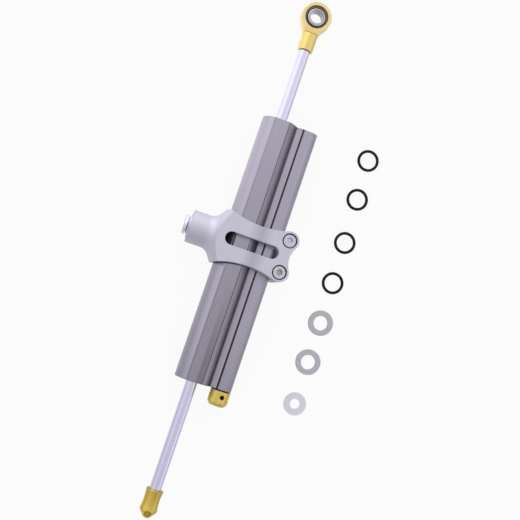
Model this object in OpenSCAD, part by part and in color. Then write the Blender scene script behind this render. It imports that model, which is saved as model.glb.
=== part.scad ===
// Linear steering damper for a motorcycle, lying on the back of its clamp.
// The rod runs along X, from the eye at the origin to the end cap.
// Y runs across, towards the valve tube and the clamp's bolts, and Z points up.

/* [Rod] */
// Diameter of the rod
rod_d = 8; // [7:0.5:9]
// Bare rod between the eye's neck and the housing
eye_side_rod = 54; // [52:1:90]
// Bare rod between the housing and the end cap
cap_side_rod = 76.5; // [72:1:110]
// Travel from rest towards the end cap
travel_to_cap = 50; // [10:1:50]
// Travel from rest towards the eye
travel_to_eye = 70; // [10:1:70]
// Diameter of the threaded tails that the eye and the end cap screw on
tail_d = 6; // [4:0.5:6.5]
// Length of each threaded tail
tail_l = 10; // [6:0.5:11]

/* [Eye] */
// Outer diameter of the eye
eye_d = 21.5; // [20:0.5:26]
// Thickness of the eye between its flat faces
eye_t = 8; // [7:0.5:9]
// Distance from the eye's centre to the end of its neck
eye_reach = 25; // [24:0.5:40]
// Diameter of the neck
eye_neck_d = 10.8; // [10:0.2:12]
// Reach of the flat faces along the neck
eye_flat_reach = 12.6; // [12:0.2:15]
// Radius of the flare between eye and neck
eye_flare_r = 12; // [8:1:20]
// Outer diameter of the eye's bearing race
eye_race_d = 16.5; // [15.5:0.5:17]
// Width of the eye's bearing race
eye_race_w = 5; // [4:0.5:6]
// Sphere diameter of the eye's ball
eye_ball_d = 14.2; // [14:0.2:14.4]
// Width of the eye's ball
eye_ball_w = 7.5; // [7:0.5:8.5]
// Bore of the eye's ball
eye_bore_d = 8.5; // [5:0.5:9]

/* [End cap] */
// Largest diameter of the end cap
cap_d = 12; // [11.4:0.2:14]
// Diameter of the end cap at its waist
cap_waist_d = 10.8; // [10:0.1:11]
// Length of the end cap
cap_l = 19.8; // [18:0.2:26]
// Length of the cone behind the end cap's tip
cap_cone_l = 3.2; // [2:0.2:4]
// Length of the end cap's rounded tip
cap_tip_l = 2; // [1:0.2:3]
// Diameter at which the end cap's cone passes into the rounded tip
cap_tip_d = 6.8; // [5:0.2:8]
// Diameter of the round recess in the tip's side
cap_recess_d = 4.2; // [3:0.2:5]
// Depth of the round recess in the tip's side
cap_recess_depth = 1.8; // [1:0.1:2]

/* [Housing] */
// Length of the housing
housing_l = 188; // [180:1:240]
// Outer diameter of the main tube
tube_d = 25.4; // [25:0.2:30]
// Distance from the rod's axis to the main tube's flats
tube_flat = 11.6; // [11.4:0.1:12.4]
// Bore of the main tube
bore_d = 20; // [18:0.5:20.5]
// Distance between the axes of the main tube and the valve tube
valve_y = 20.8; // [20.4:0.1:21.2]
// Outer diameter of the valve tube
valve_tube_d = 13.7; // [13.5:0.1:13.8]
// Distance from the valve tube's axis to its flats
valve_flat = 6.1; // [5.9:0.1:6.4]
// Bore of the valve tube
valve_bore_d = 9; // [8.6:0.2:9.4]
// Half the thickness of the web between the tubes
web_half = 5; // [4:0.2:5.5]
// Width of the groove along the web
groove_w = 1.2; // [0.6:0.1:1.4]
// Depth of the groove along the web
groove_depth = 1; // [0.4:0.1:1.1]
// Diameter of the drilled oil channel and its ports
channel_d = 2.6; // [2:0.2:2.8]

/* [Glands and seals] */
// Length of each gland
gland_l = 16; // [15:0.5:18]
// Depth of each gland below the housing's end
gland_inset = 2.4; // [2.2:0.1:4]
// Outer diameter of each rod bushing
bushing_d = 10; // [9.6:0.2:11]
// Length of each rod bushing
bushing_l = 7; // [5:0.5:8]
// Outer diameter of each rod seal
seal_d = 13; // [12:0.2:14]
// Width of each rod seal
seal_w = 3; // [2:0.2:3.4]
// Outer diameter of each wiper
wiper_d = 14; // [12:0.2:15]
// Width of each wiper
wiper_w = 3; // [2:0.2:3.2]
// Cord of the glands' O-rings
gland_oring_cord = 1.8; // [1.4:0.1:2]
// Thickness of the retaining rings
circlip_t = 1; // [0.8:0.1:1.2]
// Radial width of the retaining rings
circlip_w = 1.6; // [1.2:0.1:1.8]
// Depth of the retaining rings' grooves
circlip_groove = 0.5; // [0.3:0.1:0.6]

/* [Piston] */
// Length of the piston
piston_l = 16; // [10:1:18]
// Width of the piston's band
piston_band_w = 6; // [4:0.5:8]
// Radial thickness of the piston's band
piston_band_t = 1.2; // [0.8:0.1:2]
// Outer diameter of the clips that hold the piston on the rod
piston_clip_d = 12; // [11:0.5:14]

/* [Adjuster] */
// Diameter of the knob
knob_d = 14; // [12:0.5:15]
// Length of the knob
knob_l = 10.8; // [10:0.2:14]
// Length of the knob's chamfer
knob_chamfer = 2.4; // [1:0.2:3]
// Number of grip flutes round the knob
knob_flutes = 6; // [5:1:8]
// Depth of the grip flutes
knob_flute_depth = 0.7; // [0.3:0.05:0.8]
// Radius of the grip flutes
knob_flute_r = 5; // [3:0.5:8]
// Gap between the knob and the housing
knob_gap = 0.5; // [0.4:0.1:1.5]
// Diameter of the grub screw in the knob
grub_d = 3; // [2.5:0.5:3.5]
// Diameter of the adjuster's stem
stem_d = 4; // [3.6:0.2:4.2]
// Length of the valve body
valve_body_l = 17; // [16:0.5:20]
// Diameter of the needle's shank
needle_d = 2.4; // [2:0.1:2.6]
// Diameter of the valve seat's orifice
orifice_d = 1.8; // [1:0.1:2]
// Length of the piston between oil and gas
divider_l = 9; // [8:0.5:14]
// Distance from the housing's end to the piston between oil and gas
divider_inset = 60; // [40:1:90]
// Length of the valve tube's plug
plug_l = 8; // [6:0.5:12]
// Cord of the O-rings in the valve tube
small_oring_cord = 1.2; // [1:0.1:1.4]

/* [Clamp] */
// Distance from the clamp's centre to the housing's middle, towards the eye
clamp_shift = 5; // [0:0.5:40]
// Distance from the rod's axis to the clamp's faces
clamp_half = 16; // [15.5:0.5:20]
// Length of the clamp along the rod at its shoulders
shoulder_l = 40; // [38:1:44]
// Length of the clamp along the rod at its waist
waist_l = 28.6; // [26:0.2:32]
// Position across of the waist's narrowest place
waist_y = 9; // [6:0.5:12]
// Diameter of the clamp's boss
boss_d = 23; // [22:0.5:24]
// Distance from the rod's axis to the boss's end face
boss_reach = 36; // [34:0.5:42]
// Angle of the flare behind the boss, from the boss's axis
flare_angle = 54.5; // [50:0.5:58]
// Radius of the hollow between boss and flare
flare_r = 8; // [4:0.5:9]
// Length of the slot through the clamp's faces
slot_l = 38; // [30:0.5:39]
// Width of the slot
slot_w = 8.8; // [6:0.2:9.6]
// Position across of the slot's middle
slot_y = 7.2; // [6:0.2:8]
// Diameter of the two bolts
bolt_d = 5; // [4:0.5:5.5]
// Diameter of the bolts' heads
bolt_head_d = 8.5; // [8:0.1:9]
// Distance between the bolts
bolt_spacing = 22.6; // [22:0.2:25]
// Position of the bolts across
bolt_y = 30.7; // [30.7:0.1:31.5]
// Diameter of the counterbores
counterbore_d = 10.2; // [9.8:0.1:10.6]
// Depth of the counterbores
counterbore_depth = 5.6; // [5.4:0.1:8]
// Radius of the lobes round the bolts
lobe_r = 6.5; // [6.2:0.1:7.5]
// Width of the clamp's split
split_w = 1.2; // [0.6:0.1:2]

/* [Swivel in the clamp's boss] */
// Outer diameter of the swivel's race
pivot_race_d = 17.2; // [16.4:0.2:18]
// Width of the swivel's race
pivot_race_w = 7; // [6:0.5:8]
// Distance that the race stands out of the boss
pivot_race_proud = 0.8; // [0.2:0.1:1.5]
// Sphere diameter of the swivel's ball
pivot_ball_d = 14.6; // [14.2:0.2:15]
// Width of the swivel's ball
pivot_ball_w = 9; // [8.4:0.2:9.4]
// Outer diameter of the collar's shank, inside the ball
collar_shank_d = 9; // [8.6:0.1:9.6]
// Diameter of the collar's head beside the ball
collar_base_d = 14.4; // [12:0.2:14.6]
// Diameter of the collar's head at its end face
collar_d = 13; // [10.4:0.2:13.6]
// Distance from the rod's axis to the collar's end face
collar_reach = 40.2; // [39.6:0.1:44]
// Diameter of the collar's threaded hole
collar_hole_d = 6.8; // [5:0.1:7]

/* [Loose rings] */
// Inner diameter of the loose O-rings
oring_inner_d = 11.8; // [11:0.1:12.5]
// Cord of the loose O-rings
oring_cord = 2.1; // [1.6:0.1:2.6]
// Outer diameter of the steel washers
washer_d = 18.1; // [17:0.1:20]
// Hole of the steel washers
washer_hole_d = 10.4; // [9:0.1:11]
// Outer diameter of the nylon washer
nylon_d = 16.2; // [14:0.1:18]
// Hole of the nylon washer
nylon_hole_d = 7.2; // [6:0.1:8.5]
// Thickness of all three washers
washer_t = 1.6; // [1:0.1:2.5]
// Distance along the rod from the eye to the first loose ring
row_start = 79; // [60:0.5:90]
// Distance across from the rod's axis to the first loose ring
row_y = 71; // [60:0.5:90]

/* [Fits] */
// Radial clearance of seated pieces that don't move
seat_gap = 0.05; // [0.02:0.01:0.08]
// Radial clearance of pieces that slide or turn in each other
run_gap = 0.08; // [0.05:0.01:0.1]
// Clearance of the clamp round the housing
clamp_gap = 0.2; // [0.2:0.05:0.3]
// Radial clearance of the two balls in their races
ball_gap = 0.2; // [0.15:0.05:0.3]

/* [Hidden] */
$fn = 96;

// Small margin by which a cutting shape passes the surface that it cuts
cut = 1;

// Places along the rod
housing_x = eye_reach + eye_side_rod;
housing_end_x = housing_x + housing_l;
cap_x = housing_end_x + cap_side_rod;
rod_x = eye_reach - tail_l;
rod_end_x = cap_x + tail_l;
clamp_x = housing_x + housing_l / 2 - clamp_shift;
chamber_x = housing_x + gland_inset + gland_l;
chamber_end_x = housing_end_x - gland_inset - gland_l;
piston_x = (chamber_x + chamber_end_x + travel_to_eye - travel_to_cap) / 2;
knob_x = housing_end_x + knob_gap;

// Valve inside the valve tube
valve_body_x = housing_end_x - valve_body_l;
seat_l = 3;
valve_seat_x = valve_body_x - seat_l;
valve_room_d = 5;
valve_room_l = 6;
stem_x = valve_body_x + valve_room_l + 0.4;
stem_collar_d = valve_room_d - 0.4;
needle_x = valve_seat_x + 0.6;
needle_l = valve_room_l + 3;
needle_tip_l = 2;
channel_z = -1.4;
port_x = chamber_end_x - channel_d;
port_z = 1.8;
port_d = 1.8;
channel_y = bore_d / 2 + (valve_y - bore_d / 2 - valve_bore_d / 2) / 2;
channel_x = chamber_x + channel_d;
channel_plug_l = 4;

// Clamp and swivel
pivot_y = boss_reach + pivot_race_proud - pivot_race_w / 2;
bolt_socket_af = 4;
bolt_head_h = bolt_d;
thread_gap = 0.1;

// Loose rings lie on the plane that the clamp's back lies on, spread by hand:
// distances from the first ring, along the rod and across
table_z = -clamp_half;
row_along = [0, 29.5, 62.2, 92.5, 122.4, 151.5, 182.4];
row_across = [0, 1.4, 2.7, 3.5, 4.3, 4.5, 4.9];

module ring(outer_d, inner_d, height) {
    difference() {
        cylinder(d = outer_d, h = height);
        translate([0, 0, -cut]) cylinder(d = inner_d, h = height + 2 * cut);
    }
}

module cord_ring(inner_d, cord) {
    rotate_extrude() translate([inner_d / 2 + cord / 2, 0]) circle(d = cord);
}

// Turned groove in a shaft's outside, from z to z + width
module outer_groove(shaft_d, depth, z, width) {
    translate([0, 0, z]) ring(shaft_d + 2 * cut, shaft_d - 2 * depth, width);
}

// Lays a shape that stands on Z along X, starting at x, on the axis at y
module along_rod(x, y = 0) {
    translate([x, y, 0]) rotate([90, 0, 90]) children();
}

// Lays a shape that stands on Z along the boss's axis, starting at y and running outwards
module along_boss(y) {
    translate([clamp_x, y, 0]) rotate([90, 0, 0]) children();
}

// Section across the housing, drawn larger all round by grow
module housing_section(grow) {
    intersection() {
        circle(d = tube_d + 2 * grow);
        square([tube_d + 4 * grow + 2 * cut, 2 * (tube_flat + grow)], center = true);
    }
    translate([0, -web_half - grow]) square([valve_y, 2 * (web_half + grow)]);
    translate([valve_y, 0]) intersection() {
        circle(d = valve_tube_d + 2 * grow);
        square([valve_tube_d + 4 * grow + 2 * cut, 2 * (valve_flat + grow)], center = true);
    }
}

// The grooves lie against the edge of the valve tube's flats
module web_grooves() {
    flat_edge_y = valve_y - sqrt(pow(valve_tube_d / 2, 2) - pow(valve_flat, 2));
    for (side = [-1, 1])
        translate([flat_edge_y - groove_w / 2, side * (web_half + cut / 2 - groove_depth / 2)])
            square([groove_w, groove_depth + cut], center = true);
}

module housing() {
    color("#9a97a0") difference() {
        along_rod(housing_x) linear_extrude(housing_l) difference() {
            housing_section(0);
            web_grooves();
        }
        along_rod(housing_x - cut) cylinder(d = bore_d, h = housing_l + 2 * cut);
        along_rod(housing_x - cut, valve_y) cylinder(d = valve_bore_d, h = housing_l + 2 * cut);
        translate([0, 0, channel_z]) along_rod(channel_x, channel_y)
            cylinder(d = channel_d, h = housing_end_x - channel_x + cut);
        // Port from the eye's side of the main bore into the channel
        translate([channel_x + channel_d / 2, bore_d / 2 - cut, channel_z])
            rotate([-90, 0, 0]) cylinder(d = channel_d, h = channel_y - bore_d / 2 + cut);
        // Port from the channel into the valve body
        translate([valve_body_x + valve_room_l / 2, channel_y, channel_z])
            rotate([-90, 0, 0]) cylinder(d = port_d, h = valve_y - valve_bore_d / 2 + cut - channel_y);
        // Port from the valve's outlet back into the cap's side of the main bore
        translate([port_x, bore_d / 2 - cut, port_z])
            rotate([-90, 0, 0]) cylinder(d = port_d, h = valve_y - valve_bore_d / 2 + 2 * cut - bore_d / 2);
        for (end = [0, 1]) mirror_housing(end) {
            along_rod(circlip_x) cylinder(d = bore_d + 2 * circlip_groove, h = circlip_t + 0.1);
        }
        along_rod(circlip_x, valve_y) cylinder(d = valve_bore_d + 2 * circlip_groove, h = circlip_t + 0.1);
    }
}

// Swaps the housing's two ends when end is 1
module mirror_housing(end) {
    if (end == 1)
        translate([housing_x + housing_end_x, 0, 0]) mirror([1, 0, 0]) children();
    else
        children();
}

circlip_x = housing_x + gland_inset - circlip_t - 0.1;

// Retaining ring for a bore, open over a sixth of its turn
module circlip(bore) {
    outer_d = bore + 2 * circlip_groove - 2 * seat_gap;
    difference() {
        ring(outer_d, outer_d - 2 * circlip_w, circlip_t);
        translate([0, -outer_d / 4, -cut]) cube([outer_d, outer_d / 2, circlip_t + 2 * cut]);
    }
}

// Gland seen from its outer face, running inwards along Z
module gland() {
    oring_z = gland_l - bushing_l / 2;
    difference() {
        cylinder(d = bore_d - 2 * seat_gap, h = gland_l);
        translate([0, 0, -cut]) cylinder(d = rod_d + 0.6, h = gland_l + 2 * cut);
        translate([0, 0, -cut]) cylinder(d = wiper_d, h = wiper_w + cut);
        translate([0, 0, seal_z]) cylinder(d = seal_d, h = seal_w);
        translate([0, 0, gland_l - bushing_l]) cylinder(d = bushing_d, h = bushing_l + cut);
        outer_groove(bore_d - 2 * seat_gap, gland_oring_cord, oring_z - gland_oring_cord / 2 - 0.1,
                     gland_oring_cord + 0.2);
    }
}

seal_z = wiper_w + 1.2;

module gland_at(end) {
    mirror_housing(end) along_rod(housing_x + gland_inset) children();
}

module rod_bushing() {
    translate([0, 0, gland_l - bushing_l])
        ring(bushing_d - 2 * seat_gap, rod_d + 2 * run_gap, bushing_l);
}

// Lip seal with a hollow on its pressure side
module rod_seal() {
    translate([0, 0, seal_z + 0.05]) difference() {
        ring(seal_d - 2 * seat_gap, rod_d + 2 * run_gap, seal_w - 0.1);
        translate([0, 0, seal_w / 2])
            ring((seal_d + rod_d) / 2 + 1, (seal_d + rod_d) / 2 - 1, seal_w);
    }
}

// Wiper with a lip that stands a little out of the gland, along the rod
module wiper() {
    ring(wiper_d - 2 * seat_gap, rod_d + 2 * run_gap, wiper_w - 0.1);
    translate([0, 0, -0.8]) difference() {
        cylinder(d1 = rod_d + 1.6, d2 = rod_d + 3, h = 0.9);
        translate([0, 0, -cut]) cylinder(d = rod_d + 2 * run_gap, h = 1 + 2 * cut);
    }
}

module gland_oring() {
    translate([0, 0, gland_l - bushing_l / 2])
        cord_ring(bore_d - 2 * seat_gap - 2 * gland_oring_cord + 0.1, gland_oring_cord - 0.05);
}

module eye_gland() { color("#b8b8bd") gland_at(0) gland(); }
module cap_gland() { color("#b8b8bd") gland_at(1) gland(); }
module eye_bushing() { color("#b08d57") gland_at(0) rod_bushing(); }
module cap_bushing() { color("#b08d57") gland_at(1) rod_bushing(); }
module eye_rod_seal() { color("#26262a") gland_at(0) rod_seal(); }
module cap_rod_seal() { color("#26262a") gland_at(1) rod_seal(); }
module eye_wiper() { color("#1d1d20") gland_at(0) wiper(); }
module cap_wiper() { color("#1d1d20") gland_at(1) wiper(); }
module eye_gland_oring() { color("#26262a") gland_at(0) gland_oring(); }
module cap_gland_oring() { color("#26262a") gland_at(1) gland_oring(); }
module eye_circlip() { color("#4a4a4f") along_rod(circlip_x + 0.05) circlip(bore_d); }
module cap_circlip() { color("#4a4a4f") mirror_housing(1) along_rod(circlip_x + 0.05) circlip(bore_d); }

// Piston in the main bore, with a groove for its band
module piston() {
    piston_d = bore_d - 2 * run_gap - 0.2;
    color("#a8a8ad") along_rod(piston_x - piston_l / 2) difference() {
        ring(piston_d, rod_d + 2 * run_gap, piston_l);
        outer_groove(piston_d, piston_band_t, (piston_l - piston_band_w) / 2, piston_band_w);
    }
}

module piston_band() {
    color("#e6e0d4") along_rod(piston_x - piston_band_w / 2 + 0.05)
        ring(bore_d - 2 * run_gap, bore_d - 2 * run_gap - 2 * piston_band_t, piston_band_w - 0.1);
}

// Steel rod with a threaded tail at each end and two grooves for the piston's clips
module rod() {
    color("#dcdae6") difference() {
        union() {
            along_rod(eye_reach) cylinder(d = rod_d, h = cap_x - eye_reach);
            along_rod(rod_x) cylinder(d = tail_d, h = rod_end_x - rod_x);
        }
        for (side = [-1, 1])
            along_rod(clip_x(side)) outer_groove(rod_d, circlip_groove, 0, circlip_t);
    }
}

clip_gap = 0.15;
function clip_x(side) = piston_x + side * (piston_l / 2 + clip_gap + circlip_t / 2) - circlip_t / 2;

module piston_clips() {
    inner_d = rod_d - 2 * circlip_groove + 2 * seat_gap;
    for (side = [-1, 1])
        color("#4a4a4f") along_rod(clip_x(side) + 0.02) difference() {
            ring(piston_clip_d, inner_d, circlip_t - 0.04);
            translate([0, -inner_d / 4, -cut])
                cube([piston_clip_d, inner_d / 2, circlip_t + 2 * cut]);
        }
}

// Outline of the eye seen along its bore: a disc, the neck and two hollow flares
module eye_outline() {
    flare_x = sqrt(pow(eye_d / 2 + eye_flare_r, 2) - pow(eye_neck_d / 2 + eye_flare_r, 2));
    flare_y = eye_neck_d / 2 + eye_flare_r;
    share = eye_d / 2 / (eye_d / 2 + eye_flare_r);
    circle(d = eye_d);
    difference() {
        polygon([
            [0, 0], [flare_x * share, flare_y * share], [flare_x, eye_neck_d / 2],
            [flare_x, -eye_neck_d / 2], [flare_x * share, -flare_y * share]
        ]);
        for (side = [-1, 1]) translate([flare_x, side * flare_y]) circle(r = eye_flare_r, $fn = 192);
    }
    translate([0, -eye_neck_d / 2]) square([eye_reach, eye_neck_d]);
}

// Gold eye: flat faces round the bearing, and a round neck that the rod screws into
module eye() {
    color("#e2cf7e") difference() {
        union() {
            intersection() {
                translate([0, 0, -eye_t / 2]) linear_extrude(eye_t) eye_outline();
                translate([-eye_d, -eye_d, -eye_t / 2]) cube([eye_d + eye_flat_reach, 2 * eye_d, eye_t]);
            }
            along_rod(eye_flat_reach) cylinder(d = eye_neck_d, h = eye_reach - eye_flat_reach);
        }
        translate([0, 0, -eye_t / 2 - cut]) cylinder(d = eye_race_d, h = eye_t + 2 * cut);
        along_rod(rod_x - 0.5) cylinder(d = tail_d + 2 * seat_gap, h = tail_l + 0.5 + cut);
    }
}

// Outer ring of a spherical bearing, width w, round a ball of diameter ball
module race(outer_d, w, ball) {
    difference() {
        translate([0, 0, -w / 2]) cylinder(d = outer_d, h = w);
        sphere(d = ball + 2 * ball_gap);
    }
}

// Ball of a spherical bearing, cut flat to width w
module ball(ball_d, w, bore) {
    difference() {
        intersection() {
            sphere(d = ball_d);
            translate([0, 0, -w / 2]) cylinder(d = ball_d + cut, h = w);
        }
        translate([0, 0, -w / 2 - cut]) cylinder(d = bore, h = w + 2 * cut);
    }
}

module eye_race() {
    color("#4d474c") race(eye_race_d - 2 * seat_gap, eye_race_w, eye_ball_d);
}

module eye_ball() {
    color("#b9b6c2") ball(eye_ball_d, eye_ball_w, eye_bore_d);
}

// Gold end cap with a waist, a cone, a rounded tip and a round recess in the tip's side
module end_cap() {
    barrel_l = cap_l - cap_cone_l - cap_tip_l;
    waist_depth = (cap_d - cap_waist_d) / 2;
    hollow_half = barrel_l / 2 - 0.6;
    hollow_r = (pow(hollow_half, 2) + pow(waist_depth, 2)) / (2 * waist_depth);
    tip_r = (pow(cap_tip_d / 2, 2) + pow(cap_tip_l, 2)) / (2 * cap_tip_l);
    recess_z = cap_l - 3.6;
    color("#bfa24f") along_rod(cap_x) difference() {
        union() {
            difference() {
                union() {
                    cylinder(d1 = cap_d - 0.6, d2 = cap_d, h = 0.3);
                    translate([0, 0, 0.3]) cylinder(d = cap_d, h = barrel_l - 0.3);
                }
                translate([0, 0, barrel_l / 2 - 0.2])
                    rotate_extrude() translate([cap_waist_d / 2 + hollow_r, 0]) circle(r = hollow_r, $fn = 360);
            }
            translate([0, 0, barrel_l]) cylinder(d1 = cap_d, d2 = cap_tip_d, h = cap_cone_l);
            intersection() {
                translate([0, 0, cap_l - tip_r]) sphere(r = tip_r);
                translate([0, 0, cap_l - cap_tip_l - 0.1]) cylinder(d = cap_d, h = cap_tip_l + cut);
            }
        }
        translate([0, 0, -cut]) cylinder(d = tail_d + 2 * seat_gap, h = tail_l + 0.5 + cut);
        translate([0, (cap_d + cap_tip_d) / 4 - cap_recess_depth, recess_z])
            rotate([-90, 0, 0]) cylinder(d = cap_recess_d, h = cap_d);
    }
}

// Fluted knob on the adjuster's stem, with a radial hole for its grub screw
module adjuster_knob() {
    color("#cdb75a") along_rod(knob_x, valve_y) difference() {
        union() {
            cylinder(d = knob_d, h = knob_l - knob_chamfer);
            translate([0, 0, knob_l - knob_chamfer])
                cylinder(d1 = knob_d, d2 = knob_d - 1.75 * knob_chamfer, h = knob_chamfer);
        }
        for (i = [0 : knob_flutes - 1]) rotate([0, 0, knob_flute_turn + i * 360 / knob_flutes])
            translate([0, knob_d / 2 - knob_flute_depth + knob_flute_r, -cut])
                cylinder(r = knob_flute_r, h = knob_l + 2 * cut);
        translate([0, 0, -cut]) cylinder(d = stem_d + 2 * seat_gap, h = knob_l - 2 + cut);
        knob_grub_place() cylinder(d = grub_d + 2 * seat_gap, h = knob_d);
    }
}

// The first flute lies this far from the knob's top, and the grub screw's axis leans the other way
knob_flute_turn = 8;
grub_lean = 13;
grub_z = 4.1;
grub_l = 3;

module knob_grub_place() {
    translate([0, 0, grub_z]) rotate([-90, 0, 0]) rotate([0, grub_lean, 0])
        translate([0, 0, stem_d / 2 + 0.05]) children();
}

module knob_grub_screw() {
    color("#2a2a2d") along_rod(knob_x, valve_y) knob_grub_place() difference() {
        cylinder(d = grub_d, h = grub_l);
        translate([0, 0, grub_l - 1.4]) cylinder(d = grub_d * 0.55, h = 1.4 + cut, $fn = 6);
    }
}

// Stem turned by the knob, with a collar that keeps it inside the valve body
module adjuster_stem() {
    stem_l = knob_x + knob_l - 2.2 - stem_x;
    color("#b5b5ba") along_rod(stem_x, valve_y) difference() {
        union() {
            cylinder(d = stem_d, h = stem_l);
            cylinder(d = stem_collar_d, h = 1);
        }
        translate([0, 0, -cut]) cylinder(d = needle_d + 2 * run_gap, h = needle_l + cut);
        outer_groove(stem_d, stem_groove, stem_oring_z - small_oring_cord / 2 - 0.05, small_oring_cord + 0.1);
    }
}

stem_oring_z = 4;
stem_groove = 0.5;

module stem_oring() {
    color("#26262a") along_rod(stem_x + stem_oring_z, valve_y)
        cord_ring(stem_d - 2 * stem_groove + 0.1, small_oring_cord - 0.1);
}

// Valve body in the end of the valve tube
module valve_body() {
    room_l = valve_room_l + 1.6;
    color("#b08d57") along_rod(valve_body_x, valve_y) difference() {
        cylinder(d = valve_bore_d - 2 * seat_gap, h = valve_body_l);
        translate([0, 0, -cut]) cylinder(d = valve_room_d, h = room_l + cut);
        translate([0, 0, -cut]) cylinder(d = stem_d + 2 * run_gap, h = valve_body_l + 2 * cut);
        translate([0, 0, stem_x - valve_body_x + stem_oring_z - small_oring_cord / 2 - 0.1])
            cylinder(d = stem_d - 2 * stem_groove + 2 * small_oring_cord + 0.2, h = small_oring_cord + 0.2);
        translate([-valve_bore_d, channel_z, valve_room_l / 2])
            rotate([0, 90, 0]) cylinder(d = port_d, h = valve_bore_d);
        translate([0, detent_y, valve_body_l - detent_depth]) cylinder(d = detent_hole_d, h = detent_depth + cut);
    }
}

// Click detent: a ball on a small spring, in a blind hole that faces the knob
detent_y = -3.3;
detent_depth = 5;
detent_hole_d = 1.7;
detent_ball_d = 1.5;
detent_wire = 0.22;
detent_turns = 6;

module detent_ball() {
    color("#c9c9ce") along_rod(knob_x - detent_ball_d / 2 - 0.1, valve_y) translate([0, detent_y, 0])
        sphere(d = detent_ball_d);
}

// Points on a ring of the spring's wire, at step i of its helix
detent_steps = 8 * detent_turns;
detent_sides = 6;
detent_spring_r = detent_hole_d / 2 - detent_wire / 2 - 0.1;
detent_spring_l = detent_depth + knob_gap - detent_ball_d - 0.2;
function detent_point(i, j) =
    let (
        turn = 360 * i / 8,
        around = 360 * j / detent_sides,
        r = detent_spring_r + detent_wire / 2 * cos(around),
        climb = (detent_spring_l - detent_wire) * i / detent_steps
    )
    [r * cos(turn), r * sin(turn), detent_wire / 2 + climb + detent_wire / 2 * sin(around)];

module detent_spring() {
    points = [for (i = [0 : detent_steps], j = [0 : detent_sides - 1]) detent_point(i, j)];
    last = detent_steps * detent_sides;
    walls = [
        for (i = [0 : detent_steps - 1], j = [0 : detent_sides - 1])
            let (a = i * detent_sides + j, b = i * detent_sides + (j + 1) % detent_sides)
            each [[a, b, a + detent_sides], [b, b + detent_sides, a + detent_sides]]
    ];
    first_cap = [for (j = [1 : detent_sides - 2]) [0, j + 1, j]];
    last_cap = [for (j = [1 : detent_sides - 2]) [last, last + j, last + j + 1]];
    color("#8d8d92") along_rod(housing_end_x - detent_depth + 0.05, valve_y) translate([0, detent_y, 0])
        polyhedron(points, concat(walls, first_cap, last_cap));
}

module valve_seat() {
    color("#9d9da3") along_rod(valve_seat_x, valve_y) difference() {
        cylinder(d = valve_bore_d - 2 * seat_gap, h = seat_l - 0.05);
        translate([0, 0, -cut]) cylinder(d = orifice_d, h = seat_l + 2 * cut);
        translate([0, 0, seat_l - 1.6]) cylinder(d1 = orifice_d, d2 = needle_d + 1.2, h = 1.6);
    }
}

// Needle that the stem's thread moves in and out of the seat
module valve_needle() {
    color("#c9c9ce") along_rod(needle_x + 1, valve_y) {
        cylinder(d1 = orifice_d * 0.35, d2 = needle_d, h = needle_tip_l);
        translate([0, 0, needle_tip_l]) cylinder(d = needle_d, h = needle_l - needle_tip_l);
    }
}

// Piston between oil and gas, and the plug that closes the gas end
module grooved_slug(slug_l, fit) {
    slug_d = valve_bore_d - 2 * fit;
    difference() {
        cylinder(d = slug_d, h = slug_l);
        outer_groove(slug_d, small_oring_cord, (slug_l - small_oring_cord) / 2 - 0.1, small_oring_cord + 0.2);
    }
}

module slug_oring(slug_l, fit) {
    translate([0, 0, slug_l / 2])
        cord_ring(valve_bore_d - 2 * fit - 2 * small_oring_cord + 0.1, small_oring_cord - 0.05);
}

module divider_piston() {
    color("#c7c7cc") along_rod(housing_x + divider_inset, valve_y) grooved_slug(divider_l, run_gap);
}

module divider_oring() {
    color("#26262a") along_rod(housing_x + divider_inset, valve_y) slug_oring(divider_l, run_gap);
}

module tube_plug() {
    color("#b8b8bd") along_rod(housing_x + gland_inset, valve_y) grooved_slug(plug_l, seat_gap);
}

module tube_plug_oring() {
    color("#26262a") along_rod(housing_x + gland_inset, valve_y) slug_oring(plug_l, seat_gap);
}

module tube_circlip() {
    color("#4a4a4f") along_rod(circlip_x + 0.05, valve_y) circlip(valve_bore_d);
}

module channel_plug() {
    color("#9d9da3") translate([0, 0, channel_z]) along_rod(housing_end_x - channel_plug_l - 0.3, channel_y)
        cylinder(d = channel_d - 2 * seat_gap, h = channel_plug_l);
}

// The waist's hollow meets both lobes without a corner
waist_step = waist_l / 2 - bolt_spacing / 2;
waist_rise = bolt_y - waist_y;
waist_r = (pow(waist_step, 2) + pow(waist_rise, 2) - pow(lobe_r, 2)) / (2 * (lobe_r - waist_step));
lobe_join_y = bolt_y - lobe_r * waist_rise / (waist_r + lobe_r);

// Hollow between the two lobes, which runs into both without a corner
notch_rise = 3.4;
notch_r = (pow(bolt_spacing / 2, 2) + pow(notch_rise, 2) - pow(lobe_r, 2)) / (2 * (lobe_r - notch_rise));
lobe_share = lobe_r / (notch_r + lobe_r);

// Outline of the clamp seen from above: shoulders, hollow waist and two lobes
module clamp_outline() {
    difference() {
        union() {
            translate([clamp_x - shoulder_l / 2, -boss_reach - cut])
                square([shoulder_l, boss_reach + cut + lobe_join_y]);
            for (side = [-1, 1]) translate([clamp_x + side * bolt_spacing / 2, bolt_y]) circle(r = lobe_r);
            translate([clamp_x - (1 - lobe_share) * bolt_spacing / 2, lobe_join_y - cut])
                square([(1 - lobe_share) * bolt_spacing,
                        bolt_y + (notch_rise + notch_r) * lobe_share - lobe_join_y + cut]);
        }
        for (side = [-1, 1])
            translate([clamp_x + side * (waist_l / 2 + waist_r), waist_y]) circle(r = waist_r, $fn = 360);
        translate([clamp_x, bolt_y + notch_rise + notch_r]) circle(r = notch_r);
    }
}

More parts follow.
